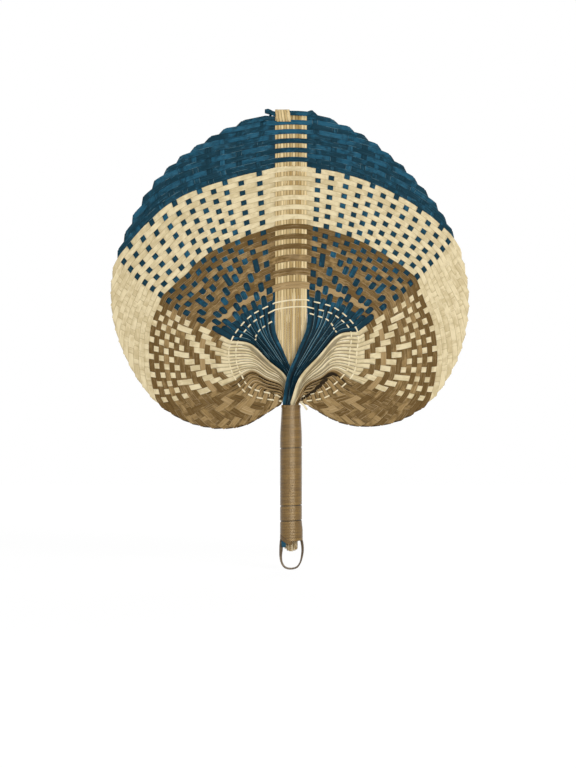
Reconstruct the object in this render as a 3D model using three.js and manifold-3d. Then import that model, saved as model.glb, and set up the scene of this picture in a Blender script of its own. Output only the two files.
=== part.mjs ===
// A woven hand fan: dyed strips plaited around a spine of pale splints, with a bound grip.
// Millimetres. Z runs up the handle, X across the blade, and the face of the fan looks along -Y.
// The origin is the middle of the grip, on its axis.

import * as THREE from 'three';
import { mergeVertices } from 'three/addons/utils/BufferGeometryUtils.js';
import Module from 'manifold-3d';

const wasm = await Module();
wasm.setup();

// Strips, numbered from the outermost arc inwards, with as many of each colour.
const COLOURS = ['blue', 'cream', 'brown'];
const STRIPS_PER_COLOUR = 12;
const STRIP_WIDTH = 4.0;
const STRIP_THICKNESS = 0.25;
const WEAVE_CLEARANCE = 0.22;
const LEG_WIDTH = 2.2;

// Spine: splints side by side, which pass behind the legs and are drawn together on edge there.
const SPINE_WIDTH = 26.2;
const SPLINT_COUNT = 11;
const SPLINT_THICKNESS = 0.4;
const SPLINT_GAP = 0.25;
const SPINE_BEND_TOP = 78;
const SPINE_BEND_FOOT = 62;
const SPINE_TAPER_TOP = 54;
const SPINE_TAPER_FOOT = 14;
const TAB_SPLINTS = 5;
const TAB_LENGTH = 8;

// Grip: strip ends packed in a core, with a flat binding wound over it.
const GRIP_LENGTH = 113;
const TUCK_DEPTH = 6;
const STACK_SPREAD = 0.793;
const FIT_GAP = 0.2;
const CORE_RADIUS = 7.5;
const BINDING_LOOPS = 24;
const BINDING_GAP = 0.75;
const BINDING_THICKNESS = 0.6;
const BINDING_STEPS = 14;
const BUTT_LENGTH = 8;
const BUTT_WIDTH = 10.4;
const BUTT_DEPTH = 7.2;

// Hanging loop: one springy strip with both tails under the binding.
const LOOP_WIDTH = 3.0;
const LOOP_THICKNESS = 1.1;
const LOOP_RADIUS = 9.4;
const LOOP_DROP = 23.3;
const LOOP_TAIL = 26;
const LOOP_STEPS = 13;
const NECK_CLEARANCE = 0.3;
const NECK_TURN = [85, 60, 30, 0];

// Twining cords round the throat: how far inside the weave each one runs, and its thickness.
const CORD_THICKNESS = 0.7;
const CORD_INSETS = [0.6, 5.2, 13.5];
const CORD_GAP = 0.3;
const CORD_STEPS = 6;
const CORD_CHANGE = 0.08;
const CORD_DEEPEST = 0.9;
const LEG_BOW = 1.15;

// The blade: its width, and its height above the top of the grip. Where every fourth strip folds on
// the rim, from the spine round to the grip, and where every sixth ray leaves the weave, as shares
// of half that width and of that height.
const BLADE_WIDTH = 296;
const BLADE_HEIGHT = 241;
const RIM = {
  left: [[0.091, 1], [0.443, 0.905], [0.753, 0.751], [0.959, 0.51], [0.997, 0.336], [0.925, 0.166],
    [0.765, 0.014], [0.549, -0.068], [0.299, -0.077], [0.085, -0.013]],
  right: [[0.091, 1], [0.405, 0.915], [0.693, 0.766], [0.903, 0.578], [0.984, 0.378], [0.942, 0.18],
    [0.786, 0.014], [0.554, -0.066], [0.305, -0.065], [0.085, -0.013]],
};
const THROAT = {
  left: [[0.091, 0.344], [0.227, 0.298], [0.327, 0.224], [0.349, 0.156], [0.332, 0.088], [0.206, 0.018],
    [0.078, 0.006]],
  right: [[0.091, 0.344], [0.251, 0.313], [0.367, 0.247], [0.369, 0.173], [0.335, 0.1], [0.206, 0.021],
    [0.078, 0.006]],
};

// How the weave is laid out. Shares and edges of it are counted in strip numbers.
const COLOUR_GAP = 0.6;
const ARC_CROWDING = 0.09;
const ARC_STEP = 3;
const LEG_STEPS = 7;
const LEG_EASE = 0.36;
const LEG_RISE = 1.5;
const LEG_PARTING = 0.03;
const LEG_STACKED = 0.5;
const LEG_SLACK = 0.12;
const WIDEST_ARC = 0.46;
const WIDEST_RAY = 0.44;
const SPINE_EDGE = 0.37;
const FACE_CHANGE = 0.25;
const FOLD_CLEARANCE = 0.12;

const STRIP_COUNT = COLOURS.length * STRIPS_PER_COLOUR;
const THROAT_INDEX = STRIP_COUNT + 1;
const GRIP_TOP = GRIP_LENGTH / 2;
const GRIP_FOOT = -GRIP_LENGTH / 2;
const THICKEST = Math.max(STRIP_THICKNESS, SPLINT_THICKNESS);
const LAYER_STEP = (THICKEST + STRIP_THICKNESS) / 2 + WEAVE_CLEARANCE;
const STACK_PITCH = (2 * CORE_RADIUS * STACK_SPREAD) / (STRIP_COUNT - 1);
const STACK_GAP = STACK_PITCH - STRIP_THICKNESS;
const SPLINT_PITCH = SPINE_WIDTH / SPLINT_COUNT;
const SPLINT_WIDTH = SPLINT_PITCH - SPLINT_GAP;
const LEG_LAYER = LEG_WIDTH + FIT_GAP;
const SPINE_LAYER = (LEG_WIDTH + SPLINT_WIDTH) / 2 + FIT_GAP;
const FRONT = -1;
const DEPTH = new THREE.Vector3(0, 1, 0);

const MATERIALS = {
  blue: { color: 0x2c4e60, roughness: 0.5 },
  cream: { color: 0xdccfa6, roughness: 0.55 },
  brown: { color: 0x77664a, roughness: 0.55 },
  splint: { color: 0xc5ae7e, roughness: 0.5 },
  binding: { color: 0x937a58, roughness: 0.5 },
  core: { color: 0xc9b898, roughness: 0.7 },
  loop: { color: 0x857560, roughness: 0.6 },
  cord: { color: 0xe6dcb8, roughness: 0.6 },
};

const { clamp, lerp, smoothstep } = THREE.MathUtils;

// A closed solid through a row of four-cornered sections, each given as A1, B1, B2, A2:
// edges A and B on face 1, then on face 2. Both faces are split along the same diagonal.
function ribbon(sections) {
  const corners = (row) => sections[row].map((corner, k) => row * sections[row].length + k);
  const positions = sections.flat().flatMap((corner) => corner.toArray());
  const index = [0, 2, 1, 0, 3, 2];
  for (let row = 0; row < sections.length - 1; row += 1) {
    const [a1, b1, b2, a2] = corners(row);
    const [c1, d1, d2, c2] = corners(row + 1);
    index.push(a1, b1, d1, a1, d1, c1);
    index.push(b1, b2, d2, b1, d2, d1);
    index.push(b2, a2, d2, a2, c2, d2);
    index.push(a2, a1, c1, a2, c1, c2);
  }
  const [a1, b1, b2, a2] = corners(sections.length - 1);
  index.push(a1, b1, b2, a1, b2, a2);
  const geometry = new THREE.BufferGeometry();
  geometry.setAttribute('position', new THREE.Float32BufferAttribute(positions, 3));
  geometry.setIndex(signedVolume(positions, index) < 0 ? flipped(index) : index);
  geometry.computeVertexNormals();
  return geometry;
}

function signedVolume(positions, index) {
  const corner = (i) => new THREE.Vector3().fromArray(positions, index[i] * 3);
  let volume = 0;
  for (let i = 0; i < index.length; i += 3) {
    volume += corner(i).dot(corner(i + 1).cross(corner(i + 2))) / 6;
  }
  return volume;
}

function flipped(index) {
  const turned = [];
  for (let i = 0; i < index.length; i += 3) {
    turned.push(index[i], index[i + 2], index[i + 1]);
  }
  return turned;
}

// Four corners of a flat section between two edge points, with face 1 towards the given normal.
function section(edgeA, edgeB, normal, thickness) {
  const half = normal.clone().multiplyScalar(thickness / 2);
  return [
    edgeA.clone().add(half),
    edgeB.clone().add(half),
    edgeB.clone().sub(half),
    edgeA.clone().sub(half),
  ];
}

// How far a strip must stand on edge so that its outline fits the room between its neighbours.
function standingAngle(width, thickness, room) {
  if (room >= width) return 0;
  const diagonal = Math.hypot(width, thickness);
  const lean = Math.acos(clamp(room / diagonal, -1, 1));
  return Math.min(Math.PI / 2, Math.atan2(thickness, width) + lean);
}

// One half of the blade. Ray n runs from its fold on the rim to the throat, arc a crosses the rays.
class Lobe {
  constructor(side, rim, throat) {
    this.side = side;
    this.rimCurve = this.curve(rim);
    this.throatCurve = this.curve(throat);
  }

  curve(points) {
    const placed = points.map(([out, height]) => {
      const x = (this.side * out * BLADE_WIDTH) / 2;
      return new THREE.Vector3(x, 0, GRIP_TOP + height * BLADE_HEIGHT);
    });
    return new THREE.CatmullRomCurve3(placed, false, 'catmullrom');
  }

  // Share of the way round the lobe at strip number n, with a wider gap between two colours.
  share(n) {
    let gaps = 0;
    for (let colour = 1; colour < COLOURS.length; colour += 1) {
      gaps += clamp(n - colour * STRIPS_PER_COLOUR, 0, 1);
    }
    return (n + COLOUR_GAP * gaps) / (STRIP_COUNT + COLOUR_GAP * (COLOURS.length - 1));
  }

  rim(n) {
    return this.rimCurve.getPoint(clamp(this.share(n), 0, 1));
  }

  throat(n) {
    return this.throatCurve.getPoint(clamp(this.share(n), 0, 1));
  }

  // The point where arc a meets ray n.
  weave(a, n) {
    const inward = (a - n) / (THROAT_INDEX - n);
    const eased = inward * (1 - ARC_CROWDING + ARC_CROWDING * inward);
    return this.rim(n).lerp(this.throat(n), eased);
  }

  // Half a strip's width, counted in arcs and in rays.
  halfArc(a, n, width) {
    const pitch = this.weave(a + 0.5, n).distanceTo(this.weave(a - 0.5, n));
    return Math.min(WIDEST_ARC, width / 2 / pitch);
  }

  halfRay(a, n, width) {
    const next = Math.min(n + 0.5, STRIP_COUNT);
    const span = this.weave(a, next).distanceTo(this.weave(a, n - 0.5));
    return Math.min(WIDEST_RAY, (width / 2 / span) * (next - n + 0.5));
  }

  // A leg from the throat into the grip, at share f of its way.
  leg(f, n) {
    const start = this.throat(n);
    const stack = this.side * STACK_PITCH * (n - (STRIP_COUNT + 1) / 2);
    const end = new THREE.Vector3(stack, 0, GRIP_TOP);
    const span = start.distanceTo(end) * LEG_EASE + LEG_RISE;
    const leave = start.clone().sub(this.rim(n)).normalize().multiplyScalar(span).add(start);
    const enter = new THREE.Vector3(stack, 0, GRIP_TOP + span);
    return new THREE.CubicBezierCurve3(start, leave, enter, end).getPoint(f);
  }

  // One section of leg n: how far it stands on edge follows from the room to its neighbours. The
  // right lobe's legs pass in front of the left lobe's.
  legSection(f, n) {
    const reach = 0.01;
    const ahead = this.leg(Math.min(f + reach, 1), n);
    const behind = this.leg(Math.max(f - reach, 0), n);
    const along = ahead.sub(behind).normalize();
    const centre = this.leg(f, n);
    const across = new THREE.Vector3().crossVectors(along, DEPTH).normalize();
    const room = (other) => Math.abs(this.leg(f, other).sub(centre).dot(across));
    const neighbours = [n - 1, n + 1].filter((other) => other >= 1 && other <= STRIP_COUNT);
    const pitch = Math.min(...neighbours.map(room));
    const gap = STACK_GAP + LEG_SLACK * Math.max(0, pitch - STACK_PITCH);
    const angle = standingAngle(LEG_WIDTH, STRIP_THICKNESS, pitch - gap);
    const half = (LEG_WIDTH * Math.cos(angle)) / 2 / pitch;
    const rise = (LEG_WIDTH * Math.sin(angle)) / 2;
    const depth = this.side < 0 ? 0 : FRONT * LEG_LAYER * smoothstep(f, LEG_PARTING, LEG_STACKED);
    const edgeA = this.leg(f, n - half).setY(depth - rise);
    const edgeB = this.leg(f, n + half).setY(depth + rise);
    const normal = new THREE.Vector3().crossVectors(along, edgeB.clone().sub(edgeA)).normalize();
    return section(edgeA, edgeB, normal.multiplyScalar(-this.side), STRIP_THICKNESS);
  }

  // Front or back of the rays at this place: an arc changes face at the spine and between colours.
  layer(a, n) {
    const bands = n < SPINE_EDGE ? 0 : 1 + Math.floor((n - 0.5) / STRIPS_PER_COLOUR);
    return ((a + bands) % 2 === 1 ? FRONT : -FRONT) * LAYER_STEP;
  }

  arcSection(a, n) {
    const half = this.halfArc(a, n, STRIP_WIDTH);
    const y = this.layer(a, n);
    const edgeA = this.weave(a - half, n).setY(y);
    const edgeB = this.weave(a + half, n).setY(y);
    return section(edgeA, edgeB, DEPTH.clone().multiplyScalar(FRONT), STRIP_THICKNESS);
  }

  raySection(a, n) {
    const width = lerp(STRIP_WIDTH, LEG_WIDTH, (a - n) / (THROAT_INDEX - n));
    const half = this.halfRay(a, n, width);
    return section(this.weave(a, n - half), this.weave(a, n + half), DEPTH, STRIP_THICKNESS);
  }

  // The mitre fold where arc i turns into ray i: flat in the ray layer, round the crease, flat in
  // the arc layer.
  foldSections(i) {
    const halfArc = this.halfArc(i, i, STRIP_WIDTH);
    const halfRay = this.halfRay(i, i, STRIP_WIDTH);
    const edgeA = this.weave(i - halfArc, i - halfRay);
    const edgeB = this.weave(i + halfArc, Math.min(i + halfRay, STRIP_COUNT));
    const inside = this.weave(i + halfArc, i - halfRay);
    const outward = new THREE.Vector3().crossVectors(edgeB.clone().sub(edgeA), DEPTH).normalize();
    if (outward.dot(inside.clone().sub(edgeA)) > 0) outward.negate();
    const y = this.layer(i, i);
    const facing = Math.sign(y) === FRONT ? 1 : -1;
    const crease = (point) => point.clone().addScaledVector(outward, LAYER_STEP / 2).setY(y / 2);
    const raised = (point) => point.clone().setY(y);
    return [
      section(edgeA, edgeB, DEPTH, STRIP_THICKNESS),
      section(crease(edgeA), crease(edgeB), outward.clone().multiplyScalar(facing), STRIP_THICKNESS),
      section(raised(edgeA), raised(edgeB), DEPTH.clone().multiplyScalar(FRONT), STRIP_THICKNESS),
    ];
  }

  // Where an arc needs a section, from its fold in to the spine.
  arcStops(i) {
    const first = i - this.halfRay(i, i, STRIP_WIDTH) - FOLD_CLEARANCE;
    const borders = COLOURS.map((colour, band) => band * STRIPS_PER_COLOUR + 0.5);
    borders[0] = SPINE_EDGE;
    const stops = borders.flatMap((border) => [border - FACE_CHANGE, border + FACE_CHANGE]);
    for (let n = ARC_STEP; n < i; n += ARC_STEP) {
      stops.push(n);
    }
    const inside = stops.filter((stop) => stop < first - FOLD_CLEARANCE);
    return [first, ...inside.sort((p, q) => q - p)];
  }

  // Half of strip i, from its end in the grip to its crossing of the spine.
  half(i) {
    const legs = [];
    for (let step = LEG_STEPS; step > 0; step -= 1) {
      legs.push(this.legSection(step / LEG_STEPS, i));
    }
    const tuck = new THREE.Vector3(0, 0, -TUCK_DEPTH);
    const tail = legs[0].map((corner) => corner.clone().add(tuck));
    const rays = [this.raySection(THROAT_INDEX, i)];
    const start = i + this.halfArc(i, i, STRIP_WIDTH) + FOLD_CLEARANCE;
    if (start < THROAT_INDEX - FOLD_CLEARANCE) rays.push(this.raySection(start, i));
    const arcs = this.arcStops(i).map((n) => this.arcSection(i, n));
    return [tail, ...legs, ...rays, ...this.foldSections(i), ...arcs];
  }
}

const LEFT = new Lobe(-1, RIM.left, THROAT.left);
const RIGHT = new Lobe(1, RIM.right, THROAT.right);

function strip(i) {
  return ribbon([...LEFT.half(i), ...RIGHT.half(i).reverse()]);
}

// How far behind the face the spine lies, at a height above the grip.
function spineDepth(height) {
  return -FRONT * SPINE_LAYER * (1 - smoothstep(height, SPINE_BEND_FOOT, SPINE_BEND_TOP));
}

// Splint k of the spine. The first ones fold over the topmost arc and lie on the face.
function splint(k) {
  const place = k - (SPLINT_COUNT - 1) / 2;
  const stackPitch = SPLINT_THICKNESS + STACK_GAP;
  const level = (height) => {
    const spread = smoothstep(height, SPINE_TAPER_FOOT, SPINE_TAPER_TOP);
    const pitch = lerp(stackPitch, SPLINT_PITCH, spread);
    const gap = lerp(STACK_GAP, SPLINT_GAP, spread);
    const angle = standingAngle(SPLINT_WIDTH, SPLINT_THICKNESS, pitch - gap);
    const reach = new THREE.Vector3(Math.cos(angle), Math.sin(angle), 0);
    reach.multiplyScalar(SPLINT_WIDTH / 2);
    const normal = new THREE.Vector3(Math.sin(angle), -Math.cos(angle), 0);
    const centre = new THREE.Vector3(place * pitch, spineDepth(height), GRIP_TOP + height);
    return section(centre.clone().sub(reach), centre.clone().add(reach), normal, SPLINT_THICKNESS);
  };
  const shares = [0, 0.25, 0.5, 0.75, 1];
  const taper = shares.map((share) => lerp(SPINE_TAPER_FOOT, SPINE_TAPER_TOP, share));
  const bend = shares.map((share) => lerp(SPINE_BEND_FOOT, SPINE_BEND_TOP, share));
  const sections = [-TUCK_DEPTH, 0, ...taper, ...bend].map(level);
  const top = RIM.left[0][1] * BLADE_HEIGHT;
  sections.push(level(top));
  if (k < TAB_SPLINTS) {
    const turn = LAYER_STEP + (STRIP_THICKNESS + SPLINT_THICKNESS) / 2 + WEAVE_CLEARANCE;
    const hook = (angle, drop) => {
      const normal = new THREE.Vector3(0, Math.cos(angle), Math.sin(angle));
      const centre = new THREE.Vector3(place * SPLINT_PITCH, -turn / 2, GRIP_TOP + top - drop);
      centre.addScaledVector(normal, turn / 2);
      const reach = new THREE.Vector3(SPLINT_WIDTH / 2, 0, 0);
      const edges = [centre.clone().sub(reach), centre.clone().add(reach)];
      return section(...edges, normal.negate(), SPLINT_THICKNESS);
    };
    sections.push(...[0.25, 0.5, 0.75, 1].map((share) => hook(share * Math.PI, 0)));
    sections.push(hook(Math.PI, TAB_LENGTH));
  }
  return ribbon(sections);
}

// The flat binding, wound up the whole grip in one unbroken helix.
const BINDING_PITCH = GRIP_LENGTH / BINDING_LOOPS;
const BINDING_INSIDE = (CORE_RADIUS + FIT_GAP) / Math.cos(Math.PI / BINDING_STEPS);
const BINDING_RADIUS = BINDING_INSIDE + BINDING_THICKNESS / 2;

function binding() {
  const width = BINDING_PITCH - BINDING_GAP;
  const travel = GRIP_LENGTH - width;
  const count = BINDING_LOOPS * BINDING_STEPS;
  const sections = [];
  for (let step = 0; step <= count; step += 1) {
    const angle = (step / BINDING_STEPS) * 2 * Math.PI;
    const normal = new THREE.Vector3(Math.cos(angle), Math.sin(angle), 0);
    const centre = normal.clone().multiplyScalar(BINDING_RADIUS);
    centre.setZ(GRIP_FOOT + width / 2 + (travel * step) / count);
    const reach = new THREE.Vector3(0, 0, width / 2);
    const edges = [centre.clone().add(reach), centre.clone().sub(reach)];
    sections.push(section(...edges, normal, BINDING_THICKNESS));
  }
  console.log(`binding: least gap to itself ${leastGap(sections, BINDING_STEPS).toFixed(2)} mm`);
  return ribbon(sections);
}

// The least distance from the lower edge of a wound ribbon to the upper edge one loop below it.
function leastGap(sections, steps) {
  let least = Infinity;
  for (let row = steps; row < sections.length; row += 1) {
    for (const below of [row - steps, row - steps + 1]) {
      least = Math.min(least, sections[row][1].distanceTo(sections[below][0]));
    }
  }
  return least;
}

// The hanging loop turns about its neck, just below the binding.
const LOOP_NECK = GRIP_FOOT - LOOP_WIDTH / 2 - NECK_CLEARANCE;
const LOOP_OFFSET = CORE_RADIUS - LOOP_THICKNESS / 2;

function loop() {
  const floor = GRIP_FOOT - LOOP_DROP + LOOP_THICKNESS / 2;
  const centre = floor + LOOP_RADIUS;
  const at = (x, z, normal, width) => {
    const point = new THREE.Vector3(x, 0, z);
    const reach = new THREE.Vector3(0, width / 2, 0);
    return section(point.clone().sub(reach), point.clone().add(reach), normal, LOOP_THICKNESS);
  };
  const side = (sign) => {
    const outward = new THREE.Vector3(sign, 0, 0);
    const round = NECK_TURN.map((degrees) => {
      const angle = THREE.MathUtils.degToRad(degrees);
      const rise = (LOOP_WIDTH / 2) * Math.sin(angle);
      return at(sign * LOOP_OFFSET, LOOP_NECK + rise, outward, LOOP_WIDTH * Math.cos(angle));
    });
    const flare = [0.35, 0.7].map((share) => {
      const x = lerp(LOOP_OFFSET, LOOP_RADIUS, smoothstep(share, 0, 1));
      return at(sign * x, lerp(LOOP_NECK, centre, share), outward, LOOP_WIDTH);
    });
    return [...round, ...flare];
  };
  const bend = [];
  for (let step = 0; step <= LOOP_STEPS; step += 1) {
    const angle = Math.PI + (step / LOOP_STEPS) * Math.PI;
    const normal = new THREE.Vector3(Math.cos(angle), 0, Math.sin(angle));
    bend.push(at(LOOP_RADIUS * normal.x, centre + LOOP_RADIUS * normal.z, normal, LOOP_WIDTH));
  }
  return ribbon([...side(-1), ...bend, ...side(1).reverse()]);
}

// A tail of the loop, flat against the core under the binding.
function loopTail(sign) {
  const geometry = new THREE.BoxGeometry(LOOP_THICKNESS, LOOP_WIDTH, LOOP_TAIL);
  geometry.translate(sign * LOOP_OFFSET, 0, GRIP_FOOT + LOOP_TAIL / 2);
  return geometry;
}

// The packed strip ends: a round core with a slot for the legs, seats for the loop's tails and
// a narrower cut end.
function core() {
  const top = GRIP_TOP - FIT_GAP;
  const barrel = new THREE.CylinderGeometry(CORE_RADIUS, CORE_RADIUS, top - GRIP_FOOT, 24);
  barrel.rotateX(Math.PI / 2).translate(0, 0, (top + GRIP_FOOT) / 2);
  const butt = new THREE.BoxGeometry(BUTT_WIDTH, BUTT_DEPTH, BUTT_LENGTH + FIT_GAP);
  butt.translate(0, 0, GRIP_FOOT - (BUTT_LENGTH - FIT_GAP) / 2);
  const slotDepth = 2 * (LEG_LAYER + LEG_WIDTH / 2 + FIT_GAP);
  const slot = new THREE.BoxGeometry(4 * CORE_RADIUS, slotDepth, 2 * (TUCK_DEPTH + FIT_GAP));
  slot.translate(0, 0, GRIP_TOP);
  let shape = solid(barrel).add(solid(butt)).subtract(solid(slot));
  for (const sign of [-1, 1]) {
    const seatLength = 2 * (LOOP_TAIL + FIT_GAP);
    const seat = new THREE.BoxGeometry(4 * LOOP_THICKNESS, 4 * CORE_RADIUS, seatLength);
    const face = LOOP_OFFSET - LOOP_THICKNESS / 2 - FIT_GAP;
    seat.translate(sign * (face + 2 * LOOP_THICKNESS), 0, GRIP_FOOT);
    shape = shape.subtract(solid(seat));
  }
  return geometryOf(shape);
}

function solid(geometry) {
  const bare = geometry.clone();
  bare.deleteAttribute('normal');
  bare.deleteAttribute('uv');
  const merged = mergeVertices(bare, 1e-4);
  return new wasm.Manifold(new wasm.Mesh({
    numProp: 3,
    vertProperties: new Float32Array(merged.attributes.position.array),
    triVerts: new Uint32Array(merged.index.array),
  }));
}

function geometryOf(shape) {
  const mesh = shape.getMesh();
  const geometry = new THREE.BufferGeometry();
  geometry.setAttribute('position', new THREE.BufferAttribute(mesh.vertProperties, 3));
  geometry.setIndex(new THREE.BufferAttribute(mesh.triVerts, 1));
  geometry.computeVertexNormals();
  return geometry;
}

// A twining cord: in front of the spine and the blue and brown legs, behind the cream ones.
// The innermost cord is short: it passes behind the spine and ends with the blue legs.
function cord(number) {
  const inset = CORD_INSETS[number];
  const short = number === CORD_INSETS.length - 1;
  const last = short ? STRIPS_PER_COLOUR : STRIP_COUNT;
  const clear = CORD_GAP + CORD_THICKNESS / 2;
  const half = (lobe) => {
    const share = (n) => {
      const length = lobe.leg(0, n).distanceTo(lobe.leg(1, n)) * LEG_BOW;
      return Math.min(CORD_DEEPEST, inset / length);
    };
    const depths = COLOURS.map((colour, band) => {
      const side = band === 1 ? -FRONT : FRONT;
      const reaches = [];
      for (let n = band * STRIPS_PER_COLOUR + 1; n <= (band + 1) * STRIPS_PER_COLOUR; n += 1) {
        reaches.push(...lobe.legSection(share(n), n).map((corner) => side * corner.y));
      }
      return side * (Math.max(...reaches) + clear);
    });
    const points = [];
    for (let band = 0; band * STRIPS_PER_COLOUR < last; band += 1) {
      const from = band * STRIPS_PER_COLOUR + 0.5 + CORD_CHANGE;
      const to = Math.min((band + 1) * STRIPS_PER_COLOUR + 0.5 - CORD_CHANGE, last);
      for (let step = 0; step <= CORD_STEPS; step += 1) {
        const n = lerp(from, to, step / CORD_STEPS);
        points.push(lobe.leg(share(n), n).setY(depths[band]));
      }
    }
    const edge = lobe.leg(share(0), 0).setX(lobe.side * (SPINE_WIDTH / 2 + FIT_GAP));
    const side = short ? -FRONT : FRONT;
    const depth = spineDepth(edge.z - GRIP_TOP) + side * (SPLINT_THICKNESS / 2 + clear);
    return [edge.setY(depth), ...points];
  };
  return tube([...half(LEFT).reverse(), ...half(RIGHT)], CORD_THICKNESS);
}

// A square-sectioned cord through a row of points.
function tube(points, thickness) {
  const sections = points.map((point, k) => {
    const ahead = points[Math.min(k + 1, points.length - 1)];
    const behind = points[Math.max(k - 1, 0)];
    const along = ahead.clone().sub(behind).normalize();
    const normal = DEPTH.clone().addScaledVector(along, -along.dot(DEPTH)).normalize();
    const across = new THREE.Vector3().crossVectors(along, normal).multiplyScalar(thickness / 2);
    return section(point.clone().sub(across), point.clone().add(across), normal, thickness);
  });
  return ribbon(sections);
}

const fan = new THREE.Group();

function add(name, geometry, finish) {
  const material = new THREE.MeshStandardMaterial({ metalness: 0, ...MATERIALS[finish] });
  const mesh = new THREE.Mesh(geometry, material);
  mesh.name = name;
  fan.add(mesh);
}

const label = (number) => String(number).padStart(2, '0');

COLOURS.forEach((colour, band) => {
  for (let k = 1; k <= STRIPS_PER_COLOUR; k += 1) {
    add(`${colour}_strip_${label(k)}`, strip(band * STRIPS_PER_COLOUR + k), colour);
  }
});
for (let k = 0; k < SPLINT_COUNT; k += 1) {
  add(`spine_splint_${label(k + 1)}`, splint(k), 'splint');
}
CORD_INSETS.forEach((inset, number) => add(`twining_cord_${number + 1}`, cord(number), 'cord'));
add('grip_core', core(), 'core');
add('grip_binding', binding(), 'binding');
add('loop_tail_left', loopTail(-1), 'loop');
add('loop_tail_right', loopTail(1), 'loop');
add('hanging_loop', loop(), 'loop');

export default fan;
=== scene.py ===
"""A woven hand fan: dyed strips plaited round a spine of splints, a bound grip and a hanging loop.

Z runs up the handle, X across the blade, and the face of the fan looks along -Y. Pieces are shaped in
millimetres and scaled to metres when they are finished.
"""

import logging
import math
import random
from dataclasses import dataclass, field
from enum import Enum
from typing import Any, Optional, Sequence, Union

import bmesh
import bpy
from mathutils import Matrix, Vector

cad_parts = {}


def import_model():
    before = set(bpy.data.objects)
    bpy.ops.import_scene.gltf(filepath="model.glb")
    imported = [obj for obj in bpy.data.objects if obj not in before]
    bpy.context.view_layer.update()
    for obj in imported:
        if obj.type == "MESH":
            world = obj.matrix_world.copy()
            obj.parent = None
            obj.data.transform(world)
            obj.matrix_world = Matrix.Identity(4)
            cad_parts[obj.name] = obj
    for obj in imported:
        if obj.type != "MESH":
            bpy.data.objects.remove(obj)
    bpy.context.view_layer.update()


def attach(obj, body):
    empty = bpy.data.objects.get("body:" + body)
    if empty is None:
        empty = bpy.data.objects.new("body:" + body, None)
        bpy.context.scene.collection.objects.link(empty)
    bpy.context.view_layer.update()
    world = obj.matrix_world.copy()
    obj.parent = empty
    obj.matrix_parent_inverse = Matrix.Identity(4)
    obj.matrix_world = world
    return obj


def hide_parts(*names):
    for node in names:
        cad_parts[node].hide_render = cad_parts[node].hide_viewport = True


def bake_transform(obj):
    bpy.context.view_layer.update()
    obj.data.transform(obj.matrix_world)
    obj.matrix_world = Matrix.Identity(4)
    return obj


LOG = logging.getLogger("fan")
MM = 0.001
AWAY = Vector((0, 1, 0))
UP = Vector((0, 0, 1))
GRIP_TOP = 56.5
GRIP_FOOT = -56.5
BINDING_TOP = 55.0
FIBRE_MAP = "fibre"
Shares = tuple[tuple[float, float], ...]
Tint = tuple[int, int, int]
Span = tuple[float, float]


class Dye(Enum):
    """The strips' colours, from the rim inwards."""

    BLUE = "blue"
    CREAM = "cream"
    BROWN = "brown"


class Body(Enum):
    """The bodies that pieces ride on."""

    FAN = "fan"
    LOOP = "loop"


def clamp(value: float, low: float = 0.0, high: float = 1.0) -> float:
    """The value, kept between low and high."""
    return max(low, min(high, value))


def lerp(start: float, end: float, share: float) -> float:
    """The number at a share of the way from start to end."""
    return start + (end - start) * share


def smoothstep(value: float, low: float, high: float) -> float:
    """An eased 0 to 1 as the value goes from low to high."""
    share = clamp((value - low) / (high - low))
    return share * share * (3 - 2 * share)


def table(rows: Shares, key: float) -> float:
    """The number at a key, on straight lines between the rows of a table of keys and numbers."""
    for (low, first), (high, second) in zip(rows, rows[1:]):
        if key <= high:
            return lerp(first, second, clamp((key - low) / (high - low)))
    return rows[-1][1]


def curve_point(points: Sequence[Vector], share: float) -> Vector:
    """A point on a smooth curve through all the points.

    Args:
        points: The points, in order.
        share: How far along the curve, counted evenly from point to point.

    Returns:
        The point there.
    """
    last = len(points) - 1
    place = clamp(share) * last
    first = min(int(place), last - 1)
    t = place - first
    start, end = points[first], points[first + 1]
    before = points[first - 1] if first > 0 else 2 * start - end
    after = points[first + 2] if first + 2 <= last else 2 * end - start
    leave, arrive = (end - before) / 2, (after - start) / 2
    square = 3 * (end - start) - 2 * leave - arrive
    cube = 2 * (start - end) + leave + arrive
    return start + leave * t + square * t * t + cube * t ** 3


def srgb(red: int, green: int, blue: int) -> tuple[float, float, float, float]:
    """A colour as seen on a screen, turned into the renderer's linear colour."""
    def linear(value: float) -> float:
        """One channel, from the screen's curve to linear."""
        return value / 12.92 if value <= 0.04045 else ((value + 0.055) / 1.055) ** 2.4

    return (linear(red / 255), linear(green / 255), linear(blue / 255), 1.0)


class Wire:
    """A shader value that takes part in arithmetic."""

    def __init__(self, shader: "Shader", socket: bpy.types.NodeSocket) -> None:
        """Keeps the socket and the shader that it belongs to."""
        self.shader = shader
        self.socket = socket

    def math(self, operation: str, first: "Value", second: "Value") -> "Wire":
        """Adds one Math node on two values."""
        return self.shader.node("ShaderNodeMath", {"operation": operation}, {0: first, 1: second})

    def __add__(self, other: "Value") -> "Wire":
        """This value plus another."""
        return self.math("ADD", self, other)

    def __sub__(self, other: "Value") -> "Wire":
        """This value minus another."""
        return self.math("SUBTRACT", self, other)

    def __rsub__(self, other: "Value") -> "Wire":
        """Another value minus this one."""
        return self.math("SUBTRACT", other, self)

    def __mul__(self, other: "Value") -> "Wire":
        """This value times another."""
        return self.math("MULTIPLY", self, other)

    __radd__ = __add__
    __rmul__ = __mul__


Value = Union[Wire, float]


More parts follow.
